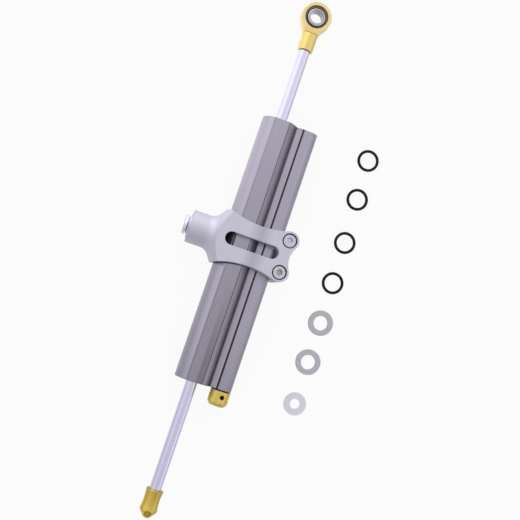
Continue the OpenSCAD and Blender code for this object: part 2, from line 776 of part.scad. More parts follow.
// Turned outline of boss and flare; the second number runs from the rod's axis out to the boss's end
module boss_profile() {
    corner_z = boss_reach - 15.2;
    far_r = 60;
    blend = flare_r * tan(flare_angle / 2);
    difference() {
        polygon([
            [0, -far_r], [far_r, -far_r], [far_r, corner_z - (far_r - boss_d / 2) / tan(flare_angle)],
            [boss_d / 2 + blend * sin(flare_angle), corner_z - blend * cos(flare_angle)],
            [boss_d / 2, corner_z + blend], [boss_d / 2, boss_reach - 0.4],
            [boss_d / 2 - 0.4, boss_reach], [0, boss_reach]
        ]);
        translate([boss_d / 2 + flare_r, corner_z + blend]) circle(r = flare_r);
    }
}

// One-piece clamp: flat faces above and below, slot, split ears and a boss for the swivel
module clamp_body() {
    color("#c9c5cf") difference() {
        intersection() {
            translate([0, 0, -clamp_half]) linear_extrude(2 * clamp_half) clamp_outline();
            along_boss(0) rotate_extrude() boss_profile();
        }
        along_rod(clamp_x - shoulder_l) linear_extrude(2 * shoulder_l) housing_section(clamp_gap);
        slot_cut();
        translate([clamp_x - shoulder_l, valve_y, -split_w / 2]) cube([2 * shoulder_l, bolt_y, split_w]);
        for (side = [-1, 1]) translate([clamp_x + side * bolt_spacing / 2, bolt_y, 0]) {
            translate([0, 0, clamp_half - counterbore_depth]) cylinder(d = counterbore_d, h = counterbore_depth + cut);
            translate([0, 0, -clamp_half - cut]) cylinder(d = bolt_d + 2 * thread_gap, h = 2 * clamp_half);
        }
        along_boss(-pivot_y + pivot_race_w / 2) cylinder(d = pivot_race_d, h = pivot_race_w + cut);
        along_boss(-pivot_y + pivot_race_w / 2 + pocket_l) cylinder(d = pivot_ball_d + 0.4, h = pocket_l + cut);
    }
}

// Pocket behind the race, in which the ball's inner side swings
pocket_l = 3.6;

module slot_cut() {
    translate([clamp_x, slot_y, -clamp_half - cut]) linear_extrude(2 * (clamp_half + cut)) {
        square([slot_w, slot_l - slot_w], center = true);
        for (side = [-1, 1]) translate([0, side * (slot_l - slot_w) / 2]) circle(d = slot_w);
    }
}

// Two socket-head bolts, sunk in the upper ear and screwed into the lower one
module clamp_bolts() {
    tip_z = -clamp_half + 1;
    for (side = [-1, 1])
        color("#c6cdd6") translate([clamp_x + side * bolt_spacing / 2, bolt_y, 0]) difference() {
            union() {
                translate([0, 0, clamp_half - counterbore_depth]) cylinder(d = bolt_head_d, h = bolt_head_h);
                translate([0, 0, tip_z]) cylinder(d = bolt_d, h = clamp_half - counterbore_depth - tip_z + cut);
            }
            translate([0, 0, clamp_half - counterbore_depth + bolt_head_h / 2])
                cylinder(d = bolt_socket_af / cos(30), h = bolt_head_h, $fn = 6);
        }
}

// Swivel: race in the boss, ball in the race, and a threaded collar that turns in the ball
module pivot_race() {
    color("#c4c1cc") along_boss(-pivot_y) race(pivot_race_d - 2 * seat_gap, pivot_race_w, pivot_ball_d);
}

module pivot_ball() {
    color("#b9b6c2") along_boss(-pivot_y) ball(pivot_ball_d, pivot_ball_w, collar_shank_d + 2 * run_gap);
}

module pivot_collar() {
    head_z = pivot_ball_w / 2 + 0.5;
    end_z = collar_reach - pivot_y;
    color("#d8d5e4") along_boss(-pivot_y) difference() {
        union() {
            translate([0, 0, -pivot_ball_w / 2]) cylinder(d = collar_shank_d, h = pivot_ball_w / 2 + head_z);
            translate([0, 0, head_z]) cylinder(d1 = collar_base_d, d2 = collar_d, h = end_z - head_z - 0.4);
            translate([0, 0, end_z - 0.4]) cylinder(d1 = collar_d, d2 = collar_d - 0.8, h = 0.4);
        }
        translate([0, 0, -pivot_ball_w / 2 + 1]) cylinder(d = collar_hole_d, h = end_z + pivot_ball_w);
    }
}

// Loose rings in a row beside the damper
module loose(i, height) {
    translate([row_start + row_along[i], row_y + row_across[i], table_z + height]) children();
}

module loose_oring(i) {
    color("#1c1c1e") loose(i, oring_cord / 2) cord_ring(oring_inner_d, oring_cord);
}

module oring_1() { loose_oring(0); }
module oring_2() { loose_oring(1); }
module oring_3() { loose_oring(2); }
module oring_4() { loose_oring(3); }
module washer_1() { color("#a5a29c") loose(4, 0) ring(washer_d, washer_hole_d, washer_t); }
module washer_2() { color("#a3a2ae") loose(5, 0) ring(washer_d, washer_hole_d, washer_t); }
module nylon_washer() { color("#e4e4e6") loose(6, 0) ring(nylon_d, nylon_hole_d, washer_t); }

clamp_body();
clamp_bolts();
pivot_race();
pivot_ball();
pivot_collar();
housing();
eye_gland();
cap_gland();
eye_bushing();
cap_bushing();
eye_rod_seal();
cap_rod_seal();
eye_wiper();
cap_wiper();
eye_gland_oring();
cap_gland_oring();
eye_circlip();
cap_circlip();
tube_plug();
tube_plug_oring();
tube_circlip();
channel_plug();
valve_body();
valve_seat();
detent_ball();
detent_spring();
piston();
piston_band();
rod();
piston_clips();
eye();
eye_race();
end_cap();
eye_ball();
adjuster_stem();
stem_oring();
adjuster_knob();
knob_grub_screw();
valve_needle();
divider_piston();
divider_oring();
oring_1();
oring_2();
oring_3();
oring_4();
washer_1();
washer_2();
nylon_washer();
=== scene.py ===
import bmesh
import bpy
import math
from mathutils import Matrix, Vector


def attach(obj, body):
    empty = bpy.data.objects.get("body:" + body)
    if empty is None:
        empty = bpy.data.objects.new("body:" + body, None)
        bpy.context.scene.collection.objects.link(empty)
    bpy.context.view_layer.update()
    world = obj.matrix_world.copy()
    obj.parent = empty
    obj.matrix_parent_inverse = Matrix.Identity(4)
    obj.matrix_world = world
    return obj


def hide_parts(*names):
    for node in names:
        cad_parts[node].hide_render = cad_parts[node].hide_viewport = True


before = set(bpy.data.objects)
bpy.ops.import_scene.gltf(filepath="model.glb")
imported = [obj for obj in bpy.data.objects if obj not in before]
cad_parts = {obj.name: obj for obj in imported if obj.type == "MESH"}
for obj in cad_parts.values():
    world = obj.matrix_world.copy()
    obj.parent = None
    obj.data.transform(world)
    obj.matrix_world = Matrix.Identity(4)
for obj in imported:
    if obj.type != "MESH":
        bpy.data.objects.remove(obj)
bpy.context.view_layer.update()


# Housing: an aluminium extrusion with a main tube, a valve tube and a web between them, sawn to
# length, bored from both ends and anodised a satin lilac grey. The die leaves hair-fine lines
# along it, and a thin dark line where each flat meets the round of its tube.
def add_node(tree, kind, inputs=None, **settings):
    made = tree.nodes.new("ShaderNode" + kind)
    for key, value in settings.items():
        setattr(made, key, value)
    for key, value in (inputs or {}).items():
        if isinstance(value, bpy.types.NodeSocket):
            tree.links.new(value, made.inputs[key])
        else:
            made.inputs[key].default_value = value
    return made


def calculate(tree, operation, first, second=0.0):
    return add_node(tree, "Math", {0: first, 1: second}, operation=operation).outputs[0]


def product(tree, *factors):
    result = factors[0]
    for factor in factors[1:]:
        result = calculate(tree, "MULTIPLY", result, factor)
    return result


def distance(tree, *parts):
    """Length of a vector from its parts, each a socket and the place it is measured from."""
    squares = 0.0
    for socket, start in parts:
        step = calculate(tree, "SUBTRACT", socket, start)
        squares = calculate(tree, "ADD", product(tree, step, step), squares)
    return calculate(tree, "SQRT", squares)


def own_coordinates(tree):
    return add_node(tree, "TexCoord").outputs["Object"]


def ramp(tree, value, at_low, at_high, low=0.0, high=1.0, **settings):
    """Goes straight from at_low to at_high as value goes from low to high, and stays there."""
    made = add_node(tree, "MapRange", {"Value": value, "From Min": low, "From Max": high,
                                       "To Min": at_low, "To Max": at_high}, **settings)
    return made.outputs["Result"]


def band(tree, value, start, end, soft):
    """1 where value is between start and end, falling to 0 over the width soft on both sides."""
    return product(tree, ramp(tree, value, 0.0, 1.0, start - soft, start),
                   ramp(tree, value, 1.0, 0.0, end, end + soft))


def grain(tree, vector, size, detail=2.0, low=0.3, high=0.7):
    """Noise with spots about size metres across, spread out to 0..1."""
    noise = add_node(tree, "TexNoise", {"Vector": vector, "Scale": 1 / size, "Detail": detail})
    return ramp(tree, noise.outputs[0], 0.0, 1.0, low, high)


def stretched(tree, vector, times):
    return add_node(tree, "Mapping", {"Vector": vector, "Scale": times}).outputs["Vector"]


def between(tree, share, first, second):
    """A colour that goes from first to second as share goes from 0 to 1."""
    mix = add_node(tree, "Mix", data_type="RGBA")
    for socket, value in ((mix.inputs[0], share), (mix.inputs[6], first), (mix.inputs[7], second)):
        if isinstance(value, bpy.types.NodeSocket):
            tree.links.new(value, socket)
        else:
            socket.default_value = (*value, 1.0) if isinstance(value, tuple) else value
    return mix.outputs[2]


def darken(tree, colour, share, strength, darkest=(0.060, 0.056, 0.070)):
    return between(tree, product(tree, share, strength), colour, darkest)


def start_finish(name, metallic):
    material = bpy.data.materials.new(name)
    material.use_nodes = True
    tree = material.node_tree
    shader = tree.nodes["Principled BSDF"]
    shader.inputs["Metallic"].default_value = metallic
    return material, tree, shader


def apply_relief(tree, shader, height, depth):
    bump = add_node(tree, "Bump", {"Height": height, "Distance": depth, "Strength": 1.0})
    tree.links.new(bump.outputs["Normal"], shader.inputs["Normal"])


def break_edges(shape, edges, width, segments=3):
    """Rounds the edges off by width, and marks the new faces, which the finishes colour as worn edges and, on
    the clamp and bolts, as painted shade and highlight.
    """
    layers = shape.faces.layers.float
    wear_and_painted_light = layers.get("wear_and_painted_light") or layers.new("wear_and_painted_light")
    broken = bmesh.ops.bevel(shape, geom=edges, offset=width, offset_type="OFFSET", affect="EDGES",
                             segments=segments, profile=0.5, material=-1)
    for face in broken["faces"]:
        face[wear_and_painted_light] = 1.0


def eased_copy(node, name, body, material, width, segments=3, choose=None):
    """Copies a node's mesh, breaks its sharp edges by width, and puts the copy in the node's place."""
    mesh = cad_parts[node].data.copy()
    if "custom_normal" in mesh.attributes:
        mesh.attributes.remove(mesh.attributes["custom_normal"])
    shape = bmesh.new()
    shape.from_mesh(mesh)
    bmesh.ops.remove_doubles(shape, verts=shape.verts, dist=0.000001)
    bmesh.ops.dissolve_limit(shape, angle_limit=math.radians(0.5), verts=shape.verts, edges=shape.edges)
    edges = [edge for edge in shape.edges
             if edge.calc_face_angle(0) > math.radians(35) and (choose is None or choose(edge))]
    break_edges(shape, edges, width, segments)
    shape.to_mesh(mesh)
    shape.free()
    finish_piece(mesh, name, body, material, node)


def finish_piece(mesh, name, body, material, node):
    """Makes the mesh a smooth-shaded piece that rides on body and stands for the node."""
    mesh.name = name
    mesh.materials.clear()
    mesh.materials.append(material)
    mesh.polygons.foreach_set("use_smooth", [True] * len(mesh.polygons))
    mesh.set_sharp_from_angle(angle=math.radians(38))
    piece = bpy.data.objects.new(name, mesh)
    bpy.context.scene.collection.objects.link(piece)
    weighted = piece.modifiers.new("flat faces stay flat", "WEIGHTED_NORMAL")
    weighted.keep_sharp = True
    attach(piece, body)
    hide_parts(node)


HOUSING_START, HOUSING_END = 0.079, 0.267
FLAT_START_Y, FLAT_LINE_START, FLAT_LINE_END = -0.0050, 0.00545, 0.00586
HOLLOW_START, HOLLOW_END = 0.0062, 0.0119
GROOVE_Y, GROOVE_HALF = 0.01690, 0.00058
CLAMP_X, SLOT_HALF = 0.168, 0.0044
CLAMP_EDGE_X, CLAMP_EDGE_Y, CLAMP_EDGE_R = 0.24482, 0.009, 0.0626

housing_finish, tree, shader = start_finish("satin_grey_anodising", 1.0)
place = own_coordinates(tree)
die_lines = grain(tree, stretched(tree, place, (0.004, 1.0, 1.0)), 0.00016, detail=3.0)
die_bands = grain(tree, stretched(tree, place, (0.008, 1.0, 1.0)), 0.0011)
clouds = grain(tree, place, 0.03, detail=3.0, low=0.25, high=0.75)
colour = between(tree, die_lines, (0.434, 0.405, 0.498), (0.508, 0.472, 0.580))
colour = between(tree, product(tree, die_bands, 0.28), colour, (0.385, 0.358, 0.442))
colour = between(tree, product(tree, clouds, 0.22), colour, (0.530, 0.500, 0.595))
split = add_node(tree, "SeparateXYZ", {0: place})
lengthwise, across = split.outputs["X"], split.outputs["Y"]
along = ramp(tree, lengthwise, 0.0, 1.0, HOUSING_START, HOUSING_END)

# Painted shade: towards the cap, the main tube's flat, one streak along it and the rounds of both
# tubes close to the end are darker, as the light falls off there.
on_flat = product(tree, ramp(tree, across, 0.0, 1.0, FLAT_START_Y - 0.0004, FLAT_START_Y),
                  ramp(tree, across, 1.0, 0.0, 0.0120, 0.0160))
colour = darken(tree, colour, product(tree, on_flat, along), 0.26)
streak = band(tree, across, 0.0018, 0.0050, 0.0010)
colour = darken(tree, colour, product(tree, streak, ramp(tree, along, 0.0, 1.0, 0.62, 0.90)), 0.34)
rounds = ramp(tree, distance(tree, (across, 0.0060)), 0.0, 1.0, 0.0105, 0.0120)
colour = darken(tree, colour, product(tree, rounds, ramp(tree, along, 0.0, 1.0, 0.80, 1.0)), 0.14)

# Dark lines beside the flats, and painted shade in the hollow between the tubes, most of it next
# to the web, and on the valve tube's far shoulder. The lines wander a little, as drawn ones do.
drawn = calculate(tree, "SUBTRACT", across, ramp(tree, along, -0.00010, 0.00016))
for value, start, end, soft, strength in (
        (across, -0.00505, -0.00480, 0.0002, ramp(tree, along, 0.20, 0.62)),
        (drawn, FLAT_LINE_START, FLAT_LINE_END, 0.0002, 0.85),
        (drawn, HOLLOW_START, HOLLOW_END, 0.0003, ramp(tree, along, 0.42, 0.14)),
        (drawn, HOLLOW_END - 0.0010, HOLLOW_END, 0.0008, ramp(tree, along, 0.60, 0.80)),
        (across, 0.0242, 0.0249, 0.0007, 0.19)):
    colour = darken(tree, colour, band(tree, value, start, end, soft), strength)
# Painted shade in the groove along the web, a little wider than the groove itself.
groove_middle = calculate(tree, "ADD", ramp(tree, along, -0.00009, 0.00005), GROOVE_Y)
groove = ramp(tree, distance(tree, (across, groove_middle)), 1.0, 0.0, GROOVE_HALF, GROOVE_HALF + 0.0002)
colour = darken(tree, colour, groove, 0.92, (0.036, 0.034, 0.044))

# Painted shade under the clamp's slot, deepest beside the slot's wall on the eye's side, a painted
# shadow along the clamp's edge on the cap's side, and painted shade at the sawn end.
in_slot = ramp(tree, distance(tree, (lengthwise, CLAMP_X)), 1.0, 0.0, SLOT_HALF + 0.0001, SLOT_HALF + 0.0008)
slot_shade = product(tree, ramp(tree, across, 1.0, 0.0, FLAT_START_Y - 0.0006, FLAT_START_Y),
                     ramp(tree, across, 0.12, 0.72, -0.0078, -0.0062))
for start, end, soft, strength in ((-0.00545, -0.00470, 0.0003, 0.93), (0.0233, 0.0242, 0.0009, 0.66)):
    line = product(tree, band(tree, across, start, end, soft), strength)
    slot_shade = calculate(tree, "MAXIMUM", slot_shade, line)
slot_wall_shade = ramp(tree, lengthwise, 0.24, 0.0, CLAMP_X - 0.0040, CLAMP_X - 0.0015)
slot_shade = calculate(tree, "MAXIMUM", slot_shade, slot_wall_shade)
colour = darken(tree, colour, slot_shade, in_slot, (0.022, 0.020, 0.026))
edge_reach = distance(tree, (lengthwise, CLAMP_EDGE_X), (across, CLAMP_EDGE_Y))
clamp_edge_shadow = product(tree, band(tree, edge_reach, CLAMP_EDGE_R - 0.0009, CLAMP_EDGE_R + 0.0010, 0.0004),
                  ramp(tree, across, 1.0, 0.2, 0.0, 0.010),
                  calculate(tree, "GREATER_THAN", lengthwise, CLAMP_X))
colour = darken(tree, colour, clamp_edge_shadow, 0.85, (0.030, 0.026, 0.028))
sawn_end_shade = ramp(tree, lengthwise, 0.0, 1.0, HOUSING_END - 0.0005, HOUSING_END - 0.0002)
colour = darken(tree, colour, sawn_end_shade, 0.75)
tree.links.new(colour, shader.inputs["Base Color"])
tree.links.new(ramp(tree, die_lines, 0.30, 0.40), shader.inputs["Roughness"])
apply_relief(tree, shader, die_lines, 0.000006)


def at_an_end(edge):
    return all(min(abs(v.co.x - HOUSING_START), abs(v.co.x - HOUSING_END)) < 0.00002 for v in edge.verts)


eased_copy("housing", "housing_extrusion", "housing", housing_finish, 0.0003, segments=2,
           choose=at_an_end)


# Piston group: a turned aluminium piston with a white sliding band, held on the rod by two spring
# clips. It works inside the main tube and shows only when the model is taken apart.
def paint_node(node, material):
    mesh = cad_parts[node].data
    mesh.materials.clear()
    mesh.materials.append(material)


def turned_rings(tree, centre, axis, size):
    """Grain in rings round an axis, as a lathe leaves on round faces and end faces alike."""
    moved = add_node(tree, "VectorMath", {0: own_coordinates(tree), 1: centre}, operation="SUBTRACT")
    parts = add_node(tree, "SeparateXYZ", {0: moved.outputs[0]})
    radius = distance(tree, *[(parts.outputs[name], 0.0) for name in "XYZ" if name != axis])
    pair = add_node(tree, "CombineXYZ", {"X": parts.outputs[axis], "Y": radius})
    return grain(tree, pair.outputs[0], size)


def on_broken_edges(tree):
    return add_node(tree, "Attribute", attribute_name="wear_and_painted_light").outputs["Fac"]


def turned_metal(name, dark, light, rough, centre, axis, size=0.00012, depth=0.000004, rub=None):
    """Metal turned on a lathe: rings of finer and coarser lines under a faint clouding."""
    material, tree, shader = start_finish(name, 1.0)
    rings = turned_rings(tree, centre, axis, size)
    clouds = grain(tree, own_coordinates(tree), 0.004, detail=3.0, low=0.25, high=0.75)
    colour = between(tree, product(tree, rings, 0.6), dark, light)
    colour = between(tree, product(tree, clouds, 0.35), colour, light)
    if rub:
        patchy = ramp(tree, grain(tree, own_coordinates(tree), 0.0012), 0.35, 1.0)
        colour = between(tree, product(tree, on_broken_edges(tree), patchy), colour, rub)
    tree.links.new(colour, shader.inputs["Base Color"])
    tree.links.new(ramp(tree, rings, *rough), shader.inputs["Roughness"])
    apply_relief(tree, shader, rings, depth)
    return material


ON_THE_ROD = (0.0, 0.0, 0.0)
turned_aluminium = turned_metal("turned_aluminium", (0.42, 0.42, 0.45), (0.55, 0.55, 0.58), (0.26, 0.38),
                                ON_THE_ROD, "X")
spring_steel = turned_metal("blued_spring_steel", (0.055, 0.055, 0.066), (0.10, 0.10, 0.115), (0.30, 0.42),
                            ON_THE_ROD, "X")
sliding_band, tree, shader = start_finish("white_sliding_plastic", 0.0)
weave = grain(tree, own_coordinates(tree), 0.0004)
tree.links.new(between(tree, weave, (0.74, 0.71, 0.64), (0.80, 0.78, 0.72)), shader.inputs["Base Color"])
tree.links.new(ramp(tree, weave, 0.42, 0.55), shader.inputs["Roughness"])
paint_node("piston", turned_aluminium)
paint_node("piston_band", sliding_band)
paint_node("piston_clips", spring_steel)


# Rod: one steel bar right through the housing, ground, hard-chromed and polished. Grinding leaves
# fine rings, and the seals rub faint lines along it.
def stain(material, share, colour, strength=1.0):
    """Lays a colour over a finish where share(tree, x, y, z) is 1."""
    tree = material.node_tree
    target = tree.nodes["Principled BSDF"].inputs["Base Color"]
    below = target.links[0].from_socket
    place = add_node(tree, "SeparateXYZ", {0: own_coordinates(tree)})
    where = product(tree, share(tree, *[place.outputs[name] for name in "XYZ"]), strength)
    tree.links.new(between(tree, where, below, colour), target)


chrome, tree, shader = start_finish("hard_chrome", 1.0)
rings = turned_rings(tree, ON_THE_ROD, "X", 0.00009)
rubs = grain(tree, stretched(tree, own_coordinates(tree), (0.006, 1.0, 1.0)), 0.0003, detail=3.0)
colour = between(tree, rings, (0.725, 0.695, 0.920), (0.785, 0.755, 0.975))
colour = between(tree, product(tree, rubs, 0.35), colour, (0.815, 0.790, 0.990))
tree.links.new(colour, shader.inputs["Base Color"])
tree.links.new(ramp(tree, rubs, 0.17, 0.26), shader.inputs["Roughness"])
apply_relief(tree, shader, rings, 0.0000006)
NECK_END = 0.025


def neck_end_shadow(tree, x, y, z):
    """Painted shadow on the rod where the eye's neck ends."""
    return ramp(tree, x, 1.0, 0.0, NECK_END + 0.0003, NECK_END + 0.0007)


stain(chrome, neck_end_shadow, (0.120, 0.105, 0.095), 0.85)
eased_copy("rod", "chromed_rod", "rod", chrome, 0.00025, segments=2)


# Glands: two turned aluminium plugs close the main tube round the rod. Each carries a bronze
# bushing, a lip seal, a wiper whose lip stands out round the rod, and an O-ring.
BRONZE_DARK, BRONZE_LIGHT = (0.34, 0.20, 0.08), (0.46, 0.29, 0.13)
bushing_bronze = turned_metal("bearing_bronze", BRONZE_DARK, BRONZE_LIGHT, (0.28, 0.40), ON_THE_ROD, "X")
rubber, tree, shader = start_finish("black_nitrile_rubber", 0.0)
skin = grain(tree, own_coordinates(tree), 0.00022, detail=3.0)
bloom = grain(tree, own_coordinates(tree), 0.003, detail=3.0, low=0.35, high=0.75)
colour = between(tree, bloom, (0.0075, 0.0075, 0.008), (0.019, 0.019, 0.020))
tree.links.new(colour, shader.inputs["Base Color"])
tree.links.new(ramp(tree, skin, 0.42, 0.60), shader.inputs["Roughness"])
apply_relief(tree, shader, skin, 0.000008)
for end in ("eye", "cap"):
    gland = end + "_gland"
    eased_copy(gland, gland + "_plug", "housing", turned_aluminium, 0.0002, segments=2)
    paint_node(end + "_bushing", bushing_bronze)
    for seal in ("_rod_seal", "_wiper", "_gland_oring"):
        paint_node(end + seal, rubber)


# Retaining rings: sprung into grooves just inside the housing's two ends, and a small one in the
# valve tube. They are stamped from spring steel and blued.
for ring in ("eye_circlip", "cap_circlip", "tube_circlip"):
    eased_copy(ring, ring + "_ring", "housing", spring_steel, 0.00012, segments=2)


# Gas end of the valve tube: a free piston parts oil from gas, and a plug closes the tube. Both are
# turned aluminium with one O-ring, and a small steel pin closes the drilled oil channel.
VALVE_Y = 0.0208
IN_THE_VALVE_TUBE = (0.0, VALVE_Y, 0.0)
tube_aluminium = turned_metal("tube_aluminium", (0.42, 0.42, 0.45), (0.55, 0.55, 0.58), (0.28, 0.40),
                              IN_THE_VALVE_TUBE, "X")
steel_pin = turned_metal("ground_steel", (0.36, 0.36, 0.38), (0.50, 0.50, 0.52), (0.22, 0.34),
                         IN_THE_VALVE_TUBE, "X")
for part, body in (("divider_piston", "divider"), ("tube_plug", "housing")):
    eased_copy(part, part + "_turned", body, tube_aluminium, 0.00015, segments=2)
for part in ("divider_oring", "tube_plug_oring", "stem_oring"):
    paint_node(part, rubber)
paint_node("channel_plug", steel_pin)


# Valve: a bronze body in the end of the valve tube guides a stem, and the stem's thread moves a
# needle in a steel seat. A ball on a small spring clicks in the knob's underside.
valve_bronze = turned_metal("valve_bronze", BRONZE_DARK, BRONZE_LIGHT, (0.26, 0.38), IN_THE_VALVE_TUBE, "X")
paint_node("valve_body", valve_bronze)
for part in ("valve_seat", "valve_needle", "adjuster_stem", "detent_ball", "detent_spring"):
    paint_node(part, steel_pin)


# Knob: turned from aluminium, with flutes milled round it for the fingers and a chamfer at its
# face, then anodised gold. A black grub screw holds it on the stem.
KNOB_BASE, KNOB_RADIUS = 0.2675, 0.0070
knob_gold = turned_metal("gold_anodised_knob", (0.760, 0.575, 0.140), (0.870, 0.675, 0.195), (0.30, 0.42),
                         IN_THE_VALVE_TUBE, "X", size=0.00018, rub=(0.74, 0.60, 0.22))


def flute_shade(tree, x, y, z):
    """Painted shade in the flutes on the boss's side, most of it near the housing."""
    from_axis = distance(tree, (y, VALVE_Y), (z, 0.0))
    return product(tree, ramp(tree, from_axis, 1.0, 0.0, KNOB_RADIUS - 0.0006, KNOB_RADIUS - 0.00015),
                   ramp(tree, y, 1.0, 0.0, VALVE_Y - 0.0045, VALVE_Y - 0.0035),
                   ramp(tree, x, 1.0, 0.0, KNOB_BASE + 0.0035, KNOB_BASE + 0.0083))


# Painted shadow where the knob meets the housing.
def knob_base_shadow(tree, x, y, z):
    return ramp(tree, x, 1.0, 0.0, KNOB_BASE + 0.0002, KNOB_BASE + 0.0005)


stain(knob_gold, flute_shade, (0.300, 0.200, 0.020), 0.75)
stain(knob_gold, knob_base_shadow, (0.060, 0.040, 0.018), 0.85)
eased_copy("adjuster_knob", "gold_knob", "adjuster", knob_gold, 0.00022)
grub_black = turned_metal("black_oxide", (0.026, 0.026, 0.032), (0.055, 0.053, 0.066), (0.26, 0.40),
                          IN_THE_VALVE_TUBE, "X")
paint_node("knob_grub_screw", grub_black)


# Eye: turned and milled from aluminium, anodised a pale gold, and screwed on the rod's thread. Its
# faces are milled flat round the bearing and end at a step where the round neck begins.
IN_THE_EYE = (0.0, 0.0, 0.0)
FLAT_END, CREASE_HALF = 0.0126, 0.0036
eye_gold = turned_metal("pale_gold_anodising", (0.815, 0.635, 0.190), (0.915, 0.735, 0.255), (0.32, 0.44),
                        IN_THE_EYE, "Z", size=0.00022, rub=(0.93, 0.80, 0.38))


def milled_face(tree, x, y, z):
    """The ring round the bearing came out paler, most of all away from the turned neck."""
    return ramp(tree, x, 1.0, 0.15, 0.0050, FLAT_END)


def neck_step_shade(tree, x, y, z):
    """Painted shade in the step where the milled faces end."""
    at_step = ramp(tree, distance(tree, (x, FLAT_END - 0.0003)), 1.0, 0.0, 0.00025, 0.0006)
    over_neck = ramp(tree, distance(tree, (y, 0.0)), 1.0, 0.0, CREASE_HALF - 0.0002, CREASE_HALF + 0.0004)
    return product(tree, at_step, over_neck)


stain(eye_gold, milled_face, (0.955, 0.790, 0.430), 0.75)
stain(eye_gold, neck_step_shade, (0.260, 0.170, 0.030), 0.80)
eased_copy("eye", "gold_eye", "rod", eye_gold, 0.0004)


# Eye bearing: a dark bearing-steel race pressed in the eye, and a bright ball that swivels in it
# with the bolt's bore through it. Both are ground and polished.
RACE_RADIUS, RACE_HALF, HOLLOW_RADIUS, BORE_RADIUS = 0.0082, 0.0025, 0.0073, 0.00425
race_steel = turned_metal("dark_bearing_steel", (0.225, 0.176, 0.160), (0.340, 0.276, 0.250), (0.30, 0.42),
                          IN_THE_EYE, "Z", size=0.00030, depth=0.000002, rub=(0.28, 0.22, 0.19))
ball_steel = turned_metal("polished_ball_steel", (0.44, 0.42, 0.48), (0.56, 0.54, 0.61), (0.10, 0.18),
                          IN_THE_EYE, "Z", rub=(0.70, 0.68, 0.75))


# Painted shade in the gap between race and ball: the race's hollow is painted near black.
def race_gap_shade(tree, x, y, z):
    return ramp(tree, distance(tree, (x, 0.0), (y, 0.0)), 1.0, 0.0, HOLLOW_RADIUS - 0.0003, HOLLOW_RADIUS)


def bore_shade(tree, x, y, z):
    """Painted shade on the bore's wall, on the far side."""
    side = calculate(tree, "SUBTRACT", product(tree, y, 0.44), product(tree, x, 0.90))
    from_axis = distance(tree, (x, 0.0), (y, 0.0))
    return product(tree, ramp(tree, from_axis, 1.0, 0.3, BORE_RADIUS + 0.00015, BORE_RADIUS + 0.00095),
                   ramp(tree, side, 0.0, 1.0, -0.0005, 0.0038))


def spun_ring(name, corners, place, lay, low_rim, high_rim):
    """Spins a half section of (radius, height) corners and lays it in place.

    The sharp rims at the lowest height are broken by low_rim, those at the highest by high_rim.
    """
    shape = bmesh.new()
    dots = [shape.verts.new((radius, 0.0, height)) for radius, height in corners]
    loop = [shape.edges.new(pair) for pair in zip(dots, dots[1:] + dots[:1])]
    bmesh.ops.spin(shape, geom=dots + loop, cent=(0, 0, 0), axis=(0, 0, 1), angle=2 * math.pi, steps=96,
                   use_merge=True)
    bmesh.ops.remove_doubles(shape, verts=shape.verts, dist=0.000001)
    heights = [height for radius, height in corners]
    for end, width in ((min(heights), low_rim), (max(heights), high_rim)):
        rim = [edge for edge in shape.edges if all(abs(v.co.z - end) < 0.00001 for v in edge.verts)]
        break_edges(shape, [edge for edge in rim if edge.calc_face_angle(0) > math.radians(45)], width)
    bmesh.ops.recalc_face_normals(shape, faces=shape.faces)
    bmesh.ops.transform(shape, matrix=Matrix.Translation(place) @ lay, verts=shape.verts)
    mesh = bpy.data.meshes.new(name)
    shape.to_mesh(mesh)
    shape.free()
    return mesh


def race_section(outer, half_width, hollow):
    """Half section of a spherical bearing's outer ring, with the hollow's arc in ten steps."""
    heights = [half_width - step * half_width / 5 for step in range(11)]
    arc = [(math.sqrt(hollow * hollow - z * z), z) for z in heights]
    return [(outer, -half_width), (outer, half_width)] + arc


UPRIGHT = Matrix.Identity(4)
stain(race_steel, race_gap_shade, (0.012, 0.010, 0.011))
stain(ball_steel, bore_shade, (0.200, 0.185, 0.230), 0.55)
race_mesh = spun_ring("eye_race", race_section(RACE_RADIUS, RACE_HALF, HOLLOW_RADIUS), IN_THE_EYE, UPRIGHT,
                      0.0003, 0.0003)
finish_piece(race_mesh, "eye_bearing_race", "rod", race_steel, "eye_race")
eased_copy("eye_ball", "eye_bearing_ball", "eye_ball", ball_steel, 0.0004)


# End cap: turned aluminium with a slight waist, a cone and a domed tip, anodised a deeper gold. It
# screws on the rod's other thread, and a round recess in the tip takes a pin spanner.
RECESS_X, RECESS_RADIUS, RECESS_RIM_Z = 0.3597, 0.0021, 0.0026
cap_gold = turned_metal("deep_gold_anodising", (0.715, 0.525, 0.100), (0.815, 0.620, 0.145), (0.30, 0.42),
                        ON_THE_ROD, "X", size=0.00020, rub=(0.66, 0.52, 0.17))


def cap_flank_shade(tree, x, y, z):
    """Painted shade along both sides of the waist."""
    sides = calculate(tree, "MAXIMUM", ramp(tree, y, 1.0, 0.0, -0.0042, -0.0034),
                      ramp(tree, y, 0.0, 1.0, -0.0006, 0.0008))
    return product(tree, sides, ramp(tree, x, 1.0, 0.4, 0.350, 0.354))


def in_recess(tree, x, y, z):
    inside = ramp(tree, distance(tree, (x, RECESS_X), (y, 0.0)), 1.0, 0.0, RECESS_RADIUS - 0.0001,
                  RECESS_RADIUS + 0.0002)
    return product(tree, inside, ramp(tree, z, 0.0, 1.0, RECESS_RIM_Z - 0.0002, RECESS_RIM_Z))


def recess_rim_shadow(tree, x, y, z):
    """Painted shadow on the recess's rim and on its wall on the side of the eye."""
    away = distance(tree, (x, RECESS_X + 0.0005), (y, 0.0))
    return product(tree, in_recess(tree, x, y, z), ramp(tree, away, 0.0, 1.0, 0.0012, RECESS_RADIUS))


stain(cap_gold, cap_flank_shade, (0.300, 0.190, 0.020), 0.24)
# Painted shade: the recess's floor and wall are painted a deeper orange.
stain(cap_gold, in_recess, (0.520, 0.320, 0.070), 0.8)
stain(cap_gold, recess_rim_shadow, (0.150, 0.088, 0.022), 0.9)
eased_copy("end_cap", "gold_end_cap", "rod", cap_gold, 0.00018)


